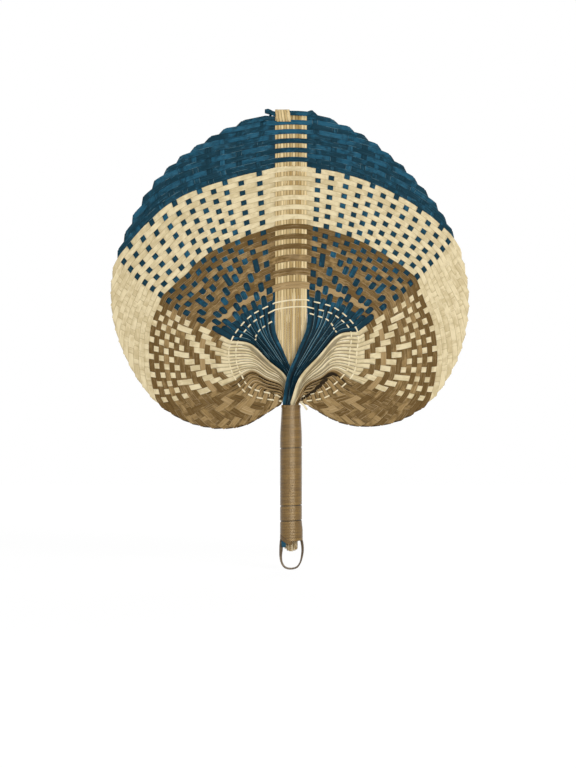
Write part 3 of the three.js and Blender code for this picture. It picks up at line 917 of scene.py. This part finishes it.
    def inner(self, lobe: Lobe) -> list[list[Station]]:
        """The short arcs past the last strip, which end behind rays."""
        rows = []
        for a, low, high in self.inner_arcs:
            count = math.ceil((high - low) * self.arc_steps)
            places = [lerp(high, low, step / count) for step in range(count + 1)]
            rows.append([self.arc_station(lobe, a, place) for place in places])
        return rows

    def bridge(self, i: int) -> list[Station]:
        """Strip i where it crosses the spine, slightly arched."""
        from_station = self.arc_station(LEFT, i, 0)
        to_station = self.arc_station(RIGHT, i, 0)
        rise = lerp(*self.bridge_rise, i / LEFT.strips)
        found = []
        for share in self.bridge_shares:
            arch = UP * (rise * (1 - (2 * share - 1) ** 2))
            edge_a = from_station.a.lerp(to_station.a, share) + arch
            edge_b = from_station.b.lerp(to_station.b, share) + arch
            found.append(Station(edge_a, edge_b, -AWAY))
        return found

    def build(self, finishes: dict[Dye, bpy.types.Material]) -> None:
        """Makes all the strips.

        Args:
            finishes: The material for each dye.
        """
        chance = random.Random(self.seed)
        number = 0
        for dye in Dye:
            ribbon = Ribbon(self.thickness, self.crown, two_faced=self.two_faced[dye])
            for k in range(1, LEFT.per_colour + 1):
                number += 1
                stations = self.half(LEFT, number) + self.bridge(number)
                stations += reversed(self.half(RIGHT, number))
                tone = self.tones.get(number, self.spread[dye] * chance.uniform(-1, 1))
                bm = ribbon.loft(stations, self.shift * number, tone)
                if number == LEFT.strips:
                    rows = self.inner(LEFT) + self.inner(RIGHT)
                    short = [ribbon.loft(row, self.short_shift * nth) for nth, row in enumerate(rows)]
                    bm = Bench.joined([bm, *short])
                node = f"{dye.value}_strip_{k:02d}"
                Bench.piece(bm, f"woven_{dye.value}_{k:02d}", finishes[dye], dye.value, [node])


@dataclass
class Spine:
    """Pale splints side by side. The first ones fold over the topmost strip."""

    count: int = 11
    width: float = 26.2
    splint_gap: float = 0.06
    thickness: float = 0.36
    crown: float = 0.08
    behind: float = 2.7
    bend_top: float = 78.0
    bend_foot: float = 60.0
    taper_top: float = 36.0
    taper_foot: float = 2.0
    foot_pitch: float = 1.15
    tabs: int = 5
    tab_length: float = 9.0
    tab_turn: float = 0.8
    tab_slant: float = 0.14
    top: float = 239.8
    top_trim: Span = (1.6, 2.6)
    tuck: float = 6.0
    heights: tuple[float, ...] = (0, 2, 6, 10, 14, 18, 22, 26, 30, 34, 38, 50, 60, 64, 68, 72, 76, 80, 100,
                                  140, 180, 220)
    shift: float = 31.0
    tone: float = 0.5
    seed: int = 11

    def level(self, k: int, height: float) -> Station:
        """A cross-section of splint k at a height above the grip."""
        place = k - (self.count - 1) / 2
        pitch = self.width / self.count
        room = lerp(self.foot_pitch, pitch, smoothstep(height, self.taper_foot, self.taper_top))
        width = pitch - self.splint_gap
        angle = math.acos(clamp(room / pitch))
        back = self.behind * (1 - smoothstep(height, self.bend_foot, self.bend_top))
        centre = Vector((place * room, back, GRIP_TOP + height))
        reach = Vector((math.cos(angle), math.sin(angle), 0)) * (width / 2)
        normal = Vector((math.sin(angle), -math.cos(angle), 0))
        return Station(centre - reach, centre + reach, normal)

    def tab(self, k: int, drop: float, angle: float) -> Station:
        """A cross-section of splint k's end, which turns over the topmost strip and hangs on the face."""
        station = self.level(k, self.top)
        normal = Vector((0, math.cos(angle), math.sin(angle)))
        move = Vector((self.tab_slant * drop, -self.tab_turn, -drop)) + normal * self.tab_turn
        return Station(station.a + move, station.b + move, -normal)

    def stations(self, k: int, chance: random.Random) -> list[Station]:
        """Splint k from the grip to its top."""
        found = [self.level(k, height) for height in (-self.tuck, *self.heights)]
        if k < self.tabs:
            found.append(self.level(k, self.top))
            found += [self.tab(k, 0, math.pi * share) for share in (0.2, 0.4, 0.6, 0.8, 1.0)]
            found += [self.tab(k, self.tab_length * share, math.pi) for share in (0.5, 1.0)]
        else:
            found.append(self.level(k, self.top - chance.uniform(*self.top_trim)))
        return found

    def build(self, finish: bpy.types.Material) -> None:
        """Makes all the splints."""
        chance = random.Random(self.seed)
        ribbon = Ribbon(self.thickness, self.crown)
        for k in range(self.count):
            stations = self.stations(k, chance)
            bm = ribbon.loft(stations, self.shift * k, chance.uniform(-self.tone, self.tone))
            name = f"{k + 1:02d}"
            Bench.piece(bm, f"splint_{name}", finish, "splint", [f"spine_splint_{name}"])


@dataclass
class TwiningCords:
    """Narrow pale cords that hold the legs apart, over one and under the next."""

    strips: WovenStrips
    spine: Spine
    insets: tuple[tuple[Shares, Shares], ...] = (
        (((0, 0.6),), ((0, 0.6),)),
        (((24, 6.2), (27, 5.6)), ((24, 6.2), (27, 5.6))),
        (((1, 14.5), (5, 15), (9, 16.5), (12, 17)), ((1, 11), (5, 12.5), (9, 15), (12, 17))),
    )
    fronts: tuple[int, ...] = (0, 1, 1)
    lasts: tuple[tuple[int, int], ...] = ((36, 36), (36, 36), (10, 12))
    width: float = 1.1
    thickness: float = 0.35
    crown: float = 0.12
    slack: float = 0.15
    steps: int = 5
    loose: Shares = ((9.6, 55.8), (11.4, 53.6), (13.2, 51))
    loose_width: float = 1.7
    leg_share: float = 0.25
    deepest: float = 0.55
    start: float = 0.4
    turn: Span = (0.25, 0.75)
    spine_shares: tuple[float, ...] = (0, 0.12, 0.3, 0.5, 0.7, 0.88, 1)
    spine_gap: float = 0.05
    behind: int = 2
    shift: float = 17.0

    def share(self, lobe: Lobe, number: int, n: float) -> float:
        """How far down leg n the cord runs."""
        inset = table(self.insets[number][lobe is RIGHT], n)
        return min(self.deepest, self.leg_share * inset / table(self.strips.leg_leaves, n))

    def level(self, lobe: Lobe, number: int, n: int) -> float:
        """How far back the cord lies at leg n."""
        n = max(1, min(n, lobe.strips))
        station = self.strips.leg_station(lobe, self.share(lobe, number, n), n)
        clear = (self.thickness + self.strips.thickness) / 2 + self.slack
        if n % 2 != self.fronts[number]:
            return max(station.a.y, station.b.y) + clear
        return min(station.a.y, station.b.y) - clear

    def half(self, number: int, lobe: Lobe) -> list[Vector]:
        """Points of a cord from the spine's edge round one lobe."""
        found = []
        last = self.lasts[number][lobe is RIGHT]
        for step in range(2, last * self.steps + 1):
            n = self.start + step / self.steps * (last - self.start) / last
            point = self.strips.leg_point(lobe, self.share(lobe, number, n), n)
            first = math.floor(n)
            turn = smoothstep(n - first, *self.turn)
            point.y = lerp(self.level(lobe, number, first), self.level(lobe, number, first + 1), turn)
            found.append(point)
        return found

    def over_spine(self, number: int) -> list[Vector]:
        """Points of a cord across the spine, in front of it or behind."""
        start = self.strips.leg_point(LEFT, self.share(LEFT, number, 0), 0)
        end = self.strips.leg_point(RIGHT, self.share(RIGHT, number, 0), 0)
        side = 1 if number == self.behind else -1
        found = []
        for share in self.spine_shares:
            point = start.lerp(end, share) + UP * (1 - (2 * share - 1) ** 2)
            lies = self.spine.level(0, point.z - GRIP_TOP).centre.y
            clear = self.spine.thickness / 2 + self.spine.crown + self.thickness / 2 + self.spine_gap
            point.y = lies + side * clear
            found.append(point)
        return found

    def loose_end(self, start: Vector) -> list[Vector]:
        """Points of the first cord's end, which sticks out beside the grip."""
        return [start, *(Vector((x, start.y - self.slack, z)) for x, z in self.loose)]

    def build(self, finish: bpy.types.Material) -> None:
        """Makes all the cords."""
        ribbon = Ribbon(self.thickness, self.crown, 3)
        for number in range(len(self.insets)):
            points = self.half(number, LEFT)[::-1] + self.over_spine(number) + self.half(number, RIGHT)
            bm = ribbon.loft(strap(points, self.width), self.shift * number)
            if number == 0:
                end = ribbon.loft(strap(self.loose_end(points[-1]), self.loose_width))
                bm = Bench.joined([bm, end])
            name = f"cord_{number + 1}"
            Bench.piece(bm, name, finish, "cord", [f"twining_{name}"])


def strap(points: Sequence[Vector], width: float) -> list[Station]:
    """Stations of a flat strap through points, with its face to the front.

    Args:
        points: The middle of the strap.
        width: Its width.

    Returns:
        One station for each point.
    """
    found = []
    for k, point in enumerate(points):
        ahead = points[min(k + 1, len(points) - 1)]
        behind = points[max(k - 1, 0)]
        along = (ahead - behind).normalized()
        normal = (AWAY - along * along.dot(AWAY)).normalized()
        across = along.cross(normal) * (width / 2)
        found.append(Station(point - across, point + across, normal))
    return found


@dataclass
class Grip:
    """The bound grip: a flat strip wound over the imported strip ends, which show at the foot."""

    turns: int = 46
    turn_steps: int = 40
    strip_gap: float = 0.04
    thickness: float = 0.3
    crown: float = 0.05
    top_radius: float = 7.5
    radius: float = 8.75
    swell: float = 30.0
    slits: tuple[float, ...] = (18.0, -27.9, -40.2)
    slit_width: float = 0.8
    slit_lead: float = 0.4
    slit_ease: float = 0.2
    start_angle: float = -125.0
    lean: float = 0.06
    bump_height: float = 0.7
    bump_power: int = 6
    bump_ends: Span = (-48, -40)
    bundle_gap: float = 0.4
    bundle_shade: float = 1.5
    # The tail of the binding, the pale cut ends below it and the blue end beside them.
    tail_steps: int = 12
    tail_angles: Span = (-165, -84)
    tail_heights: Span = (-52.5, -58.6)
    tail_lift: float = 0.05
    tail_tuck: float = 1.2
    tail_tucks_from: float = 0.75
    tail_half: float = 1.5
    tail_shift: float = 11.0
    tail_tone: float = -0.9
    end_rows: int = 4
    end_columns: int = 6
    end_width: float = 10.4
    end_depth: float = 7.0
    end_length: float = 8.0
    end_curve: float = 9.0
    end_jitter: float = 0.25
    end_trim: Span = (-0.4, 0.5)
    end_halves: Span = (0.62, 0.86)
    end_thickness: float = 1.2
    end_crown: float = 0.15
    end_tones: Span = (-0.7, 0.5)
    end_shift: float = 41.0
    end_tip: float = 0.4
    end_top: float = 3.0
    blue_path: Shares = ((-61.5, -5.9), (-58, -6.0), (-50, -6.2))
    blue_front: float = -4.6
    blue_half: Span = (1.7, -1.3)
    blue_crown: float = 0.1
    blue_tone: float = 1.5
    seed: int = 5

    def radius_at(self, z: float) -> float:
        """How far out the binding lies at a height."""
        return lerp(self.radius, self.top_radius, smoothstep(z, GRIP_TOP - self.swell, GRIP_TOP))

    def binding(self) -> bmesh.types.BMesh:
        """One unbroken strip wound from the foot to the top."""
        length = BINDING_TOP - GRIP_FOOT
        pitch = (length - self.slit_width * len(self.slits)) / (self.turns + 1)
        width = pitch - self.strip_gap
        behind = [round((slit - GRIP_FOOT) / pitch) - self.slit_lead for slit in self.slits]
        stations = []
        for step in range((self.turns + 1) * self.turn_steps + 1):
            turn = step / self.turn_steps
            angle = math.radians(self.start_angle) + 2 * math.pi * turn
            z = GRIP_FOOT + width / 2 + pitch * turn
            for place in behind:
                z += self.slit_width * smoothstep(turn, place - self.slit_ease, place + self.slit_ease)
            over = max(0.0, z - BINDING_TOP + width / 2)
            z -= over
            out = Vector((math.cos(angle), math.sin(angle), 0))
            bump = self.bump_height * max(0.0, out.x) ** self.bump_power
            bump *= 1 - smoothstep(z, *self.bump_ends)
            radius = self.radius_at(z) + bump + self.thickness * smoothstep(over, 0, pitch / 2)
            upper = out * (radius - self.lean) + UP * (z + width / 2)
            lower = out * (radius + self.lean) + UP * (z - width / 2)
            stations.append(Station(upper, lower, out))
        return Ribbon(self.thickness, self.crown, 3).loft(stations)

    def packing(self) -> bmesh.types.BMesh:
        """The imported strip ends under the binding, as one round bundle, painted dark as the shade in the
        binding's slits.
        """
        bm = bmesh.new()
        heights = [GRIP_FOOT + 1, GRIP_FOOT + 20, 0, 20, 34, GRIP_TOP - 3]
        profile = [Vector((0, 0, heights[0]))]
        profile += [Vector((self.radius_at(z) - self.bundle_gap, 0, z)) for z in heights]
        profile.append(Vector((0, 0, heights[-1])))
        verts = [bm.verts.new(point) for point in profile]
        edges = [bm.edges.new(pair) for pair in zip(verts, verts[1:])]
        bmesh.ops.spin(bm, geom=[*verts, *edges], axis=UP, angle=2 * math.pi, steps=self.turn_steps,
                       use_merge=True)
        bmesh.ops.remove_doubles(bm, verts=bm.verts, dist=1e-4)
        bmesh.ops.recalc_face_normals(bm, faces=bm.faces)
        # Painted dark all over, as the shade seen through the binding's slits.
        shade = bm.verts.layers.float.new("shade")
        for vert in bm.verts:
            vert[shade] = self.bundle_shade
        for face in bm.faces:
            face.smooth = True
        return bm

    def tail(self) -> bmesh.types.BMesh:
        """The binding's own tail, which slants over the foot and tucks in."""
        points = []
        for step in range(self.tail_steps + 1):
            share = step / self.tail_steps
            angle = math.radians(lerp(*self.tail_angles, share))
            z = lerp(*self.tail_heights, share)
            radius = self.radius + self.thickness + self.tail_lift
            radius -= self.tail_tuck * smoothstep(share, self.tail_tucks_from, 1)
            points.append(Vector((radius * math.cos(angle), radius * math.sin(angle), z)))
        stations = []
        for k, point in enumerate(points):
            along = (points[min(k + 1, self.tail_steps)] - points[max(k - 1, 0)]).normalized()
            out = Vector((point.x, point.y, 0)).normalized()
            across = along.cross(out).normalized() * self.tail_half
            stations.append(Station(point - across, point + across, out))
        return Ribbon(self.thickness, self.crown).loft(stations, self.tail_shift, self.tail_tone)

    def cut_ends(self, chance: random.Random) -> list[bmesh.types.BMesh]:
        """The pale cut ends below the binding."""
        found = []
        for row in range(self.end_rows):
            for column in range(self.end_columns):
                across = (column + 0.5) / self.end_columns - 0.5
                depth = (row + 0.5) / self.end_rows - 0.5
                x = across * self.end_width + chance.uniform(-self.end_jitter, self.end_jitter)
                y = depth * self.end_depth
                foot = GRIP_FOOT - self.end_length + self.end_curve * across ** 2
                foot += chance.uniform(*self.end_trim)
                slant = chance.uniform(*self.end_halves)
                half = Vector((slant, chance.uniform(-self.end_jitter, self.end_jitter), 0))
                normal = half.cross(UP).normalized()
                stations = []
                for z in (foot, foot + self.end_tip, GRIP_FOOT + self.end_top):
                    middle = Vector((x, y, z))
                    stations.append(Station(middle - half, middle + half, normal))
                ribbon = Ribbon(self.end_thickness, self.end_crown, 3)
                tone = chance.uniform(*self.end_tones)
                found.append(ribbon.loft(stations, self.end_shift * len(found), tone))
        return found

    def blue_end(self) -> bmesh.types.BMesh:
        """A blue strip's end that shows at the left of the foot."""
        stations = []
        half = Vector((*self.blue_half, 0))
        for z, x in self.blue_path:
            middle = Vector((x, self.blue_front, z))
            stations.append(Station(middle - half, middle + half, half.cross(UP).normalized()))
        return Ribbon(self.thickness, self.blue_crown).loft(stations, 0.0, self.blue_tone)

    def build(self, wound: bpy.types.Material, packed: bpy.types.Material, blue: bpy.types.Material) -> None:
        """Makes the binding and what shows under it.

        Args:
            wound: The binding's finish.
            packed: The cut ends' finish.
            blue: The blue end's finish.
        """
        chance = random.Random(self.seed)
        Bench.piece(self.binding(), "wound_binding", wound, "binding", ["grip_binding"])
        Bench.piece(self.tail(), "binding_tail", wound, "binding")
        Bench.piece(self.packing(), "packed_bundle", wound, "binding")
        ends = Bench.joined(self.cut_ends(chance))
        Bench.piece(ends, "cut_ends", packed, "core", ["grip_core"])
        Bench.piece(self.blue_end(), "blue_end", blue, "blue")


@dataclass
class HangingLoop:
    """One springy strip, bent into an eye below the grip, with both tails under the binding."""

    path: Shares = ((-6.9, -34), (-6.9, -50), (-7.9, -58), (-8.2, -64), (-8.4, -69.5), (-7.4, -74.8),
                    (-4.5, -78.3), (0, -79.2), (4.6, -78.1), (7.4, -74.5), (8.8, -69.7), (9.5, -64),
                    (9.0, -58), (7.3, -50), (6.9, -34))
    twist: Shares = ((0, 55), (0.2, 58), (0.27, 34), (0.35, 20), (0.5, 14), (0.65, 10), (0.75, 24),
                     (0.85, 34), (1, 34))
    width: float = 3.0
    thickness: float = 0.7
    crown: float = 0.08
    steps: int = 84
    hinge_top: float = -57.2
    hinge_foot: float = -59.4

    def build(self, finish: bpy.types.Material) -> None:
        """Makes the loop, which rides on no body."""
        points = [Vector((x, 0, z)) for x, z in self.path]
        line = [curve_point(points, step / self.steps) for step in range(self.steps + 1)]
        stations = []
        for k, point in enumerate(line):
            along = (line[min(k + 1, self.steps)] - line[max(k - 1, 0)]).normalized()
            outward = along.cross(AWAY).normalized()
            turn = math.radians(table(self.twist, k / self.steps))
            reach = (AWAY * math.cos(turn) + outward * math.sin(turn)) * (self.width / 2)
            normal = outward * math.cos(turn) - AWAY * math.sin(turn)
            stations.append(Station(point - reach, point + reach, normal))
        bm = Ribbon(self.thickness, self.crown).loft(stations)
        nodes = ["hanging_loop", "loop_tail_left", "loop_tail_right"]
        made = Bench.piece(bm, "bent_loop", finish, "loop", nodes, None)
        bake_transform(made)


@dataclass
class Studio:
    """The camera at the photograph's place, soft lamps, a white surround and a pale floor."""

    camera_place: Vector
    frame_height: float = 0.63
    sensor: float = 36.0
    floor_height: float = -0.0803
    floor_reach: float = 1.5
    floor_colour: tuple[float, ...] = (0.85, 0.85, 0.85, 1)
    floor_glow: float = 1.08
    floor_white: float = 0.85
    ambient: float = 0.34
    aim: Vector = field(default_factory=lambda: Vector((0, 0, 0.12)))
    lamps: tuple[tuple[str, tuple[float, ...], tuple[float, float], float], ...] = (
        ("key", (0.75, -1.3, 0.95), (0.7, 0.7), 9.2),
        ("fill", (-1.0, -1.4, 0.3), (1.0, 1.0), 2.0),
        ("front", (0.4, -1.7, 0.1), (1.6, 0.55), 13.5),
        ("back", (0.3, 1.5, 0.7), (1.0, 1.0), 11.0),
    )

    def camera(self) -> None:
        """Sets the camera straight in front of the fan."""
        data = bpy.data.cameras.new("camera")
        data.sensor_width = self.sensor
        data.lens = self.sensor * abs(self.camera_place.y) / self.frame_height
        made = Bench.placed("camera", data)
        made.location = self.camera_place
        made.rotation_euler = (math.pi / 2, 0, 0)
        bpy.context.scene.camera = made

    def lamp(self, name: str, place: Vector, size: tuple[float, float], power: float) -> None:
        """A soft lamp that looks at the blade.

        Args:
            name: Its name.
            place: Where it stands.
            size: Its width and height.
            power: Its power in watts.
        """
        data = bpy.data.lights.new(name, "AREA")
        data.shape = "RECTANGLE"
        data.size, data.size_y = size
        data.energy = power
        made = Bench.placed(name, data)
        made.location = place
        made.rotation_euler = (self.aim - place).to_track_quat("-Z", "Y").to_euler()

    def world(self) -> None:
        """White behind the fan, and an even light on it."""
        world = bpy.data.worlds.new("surround")
        bpy.context.scene.world = world
        world.use_nodes = True
        tree = world.node_tree
        tree.nodes.clear()
        path = tree.nodes.new("ShaderNodeLightPath")
        seen = path.outputs["Is Camera Ray"]
        for name in ("Is Glossy Ray", "Is Transmission Ray"):
            most = tree.nodes.new("ShaderNodeMath")
            most.operation = "MAXIMUM"
            tree.links.new(seen, most.inputs[0])
            tree.links.new(path.outputs[name], most.inputs[1])
            seen = most.outputs[0]
        mixed = tree.nodes.new("ShaderNodeMixShader")
        tree.links.new(seen, mixed.inputs[0])
        for strength, socket in ((self.ambient, 1), (1.0, 2)):
            background = tree.nodes.new("ShaderNodeBackground")
            background.inputs["Color"].default_value = (1, 1, 1, 1)
            background.inputs["Strength"].default_value = strength
            tree.links.new(background.outputs[0], mixed.inputs[socket])
        end = tree.nodes.new("ShaderNodeOutputWorld")
        tree.links.new(mixed.outputs[0], end.inputs["Surface"])

    def floor(self) -> None:
        """A pale floor that is white to the camera and still takes a shadow."""
        bm = bmesh.new()
        bmesh.ops.create_grid(bm, x_segments=1, y_segments=1, size=self.floor_reach)
        bmesh.ops.translate(bm, vec=(0, 0, self.floor_height), verts=bm.verts)
        mesh = Bench.mesh(bm, "floor")
        shader = Shader("pale floor")
        pale = shader.node("ShaderNodeBsdfDiffuse", inputs={"Color": self.floor_colour})
        glow = shader.node("ShaderNodeEmission", inputs={"Strength": self.floor_glow})
        seen = shader.node("ShaderNodeLightPath", output="Is Camera Ray")
        mirrored = shader.node("ShaderNodeLightPath", output="Is Glossy Ray")
        through = shader.node("ShaderNodeLightPath", output="Is Transmission Ray")
        share = (seen + mirrored + through) * self.floor_white
        shader.node_output(shader.node("ShaderNodeMixShader", inputs={0: share, 1: pale, 2: glow}))
        mesh.materials.append(shader.material)
        made = Bench.placed("floor", mesh)

    def build(self) -> None:
        """Sets up the whole studio."""
        bpy.context.scene.view_settings.view_transform = "Standard"
        self.camera()
        for name, place, size, power in self.lamps:
            self.lamp(name, Vector(place), size, power)
        self.world()
        self.floor()


def main() -> None:
    """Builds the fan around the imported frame."""
    logging.basicConfig(level=logging.INFO, format="%(message)s")
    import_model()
    Studio(Vector((-2.46 * MM, -1.8, 72.2 * MM))).build()
    blue = LeafFinish("blue leaf", (4, 46, 60), (24, 80, 104), (74, 122, 144), (0, 18, 26), (112, 140, 146),
                      pale_edge_share=0.35, wear=0.45)
    cream = LeafFinish("cream leaf", (200, 182, 140), (224, 208, 168), (244, 231, 198), (136, 108, 62),
                       (248, 237, 208), pale_edge_share=0.2, depth=0.6)
    brown = LeafFinish("brown leaf", (100, 76, 38), (148, 121, 76), (196, 170, 128), (50, 35, 12),
                       (194, 170, 130), pale_edge_share=0.5, streaks=0.5, depth=0.95)
    straw = LeafFinish("straw splint", (168, 140, 88), (214, 190, 140), (246, 228, 184), (112, 88, 46),
                       (240, 224, 184), edge=0.8, pale_edge_share=0.1, streaks=0.7, seam_width=0.32,
                       patch=(1.6, 70.0), cloud=(0.8, 45.0))
    pale = LeafFinish("pale cord", (222, 206, 166), (238, 226, 192), (252, 244, 218), (206, 188, 144),
                      (252, 246, 224))
    tan = LeafFinish("tan binding", (88, 61, 18), (118, 88, 36), (146, 117, 66), (66, 44, 13),
                     (154, 127, 84), edge=0.6, pale_edge_share=0.1, shine=0.33, ior=1.72, sheen=(255, 236, 204),
                     relief=0.02, patch=(12.0, 40.0), cloud=(5.0, 22.0))
    ends = LeafFinish("cut ends", (150, 126, 86), (206, 188, 152), (236, 222, 190), (110, 86, 50),
                      (214, 198, 164), seam_width=0.25)
    grey = LeafFinish("grey loop", (108, 92, 74), (138, 121, 100), (170, 154, 132), (90, 76, 60),
                      (152, 138, 116))
    strips = WovenStrips()
    strips.build({Dye.BLUE: blue.material(), Dye.CREAM: cream.material(), Dye.BROWN: brown.material()})
    spine = Spine()
    spine.build(straw.material())
    TwiningCords(strips, spine).build(pale.material())
    Grip().build(tan.material(), ends.material(), bpy.data.materials["blue leaf"])
    HangingLoop().build(grey.material())


if __name__ == "__main__":
    main()
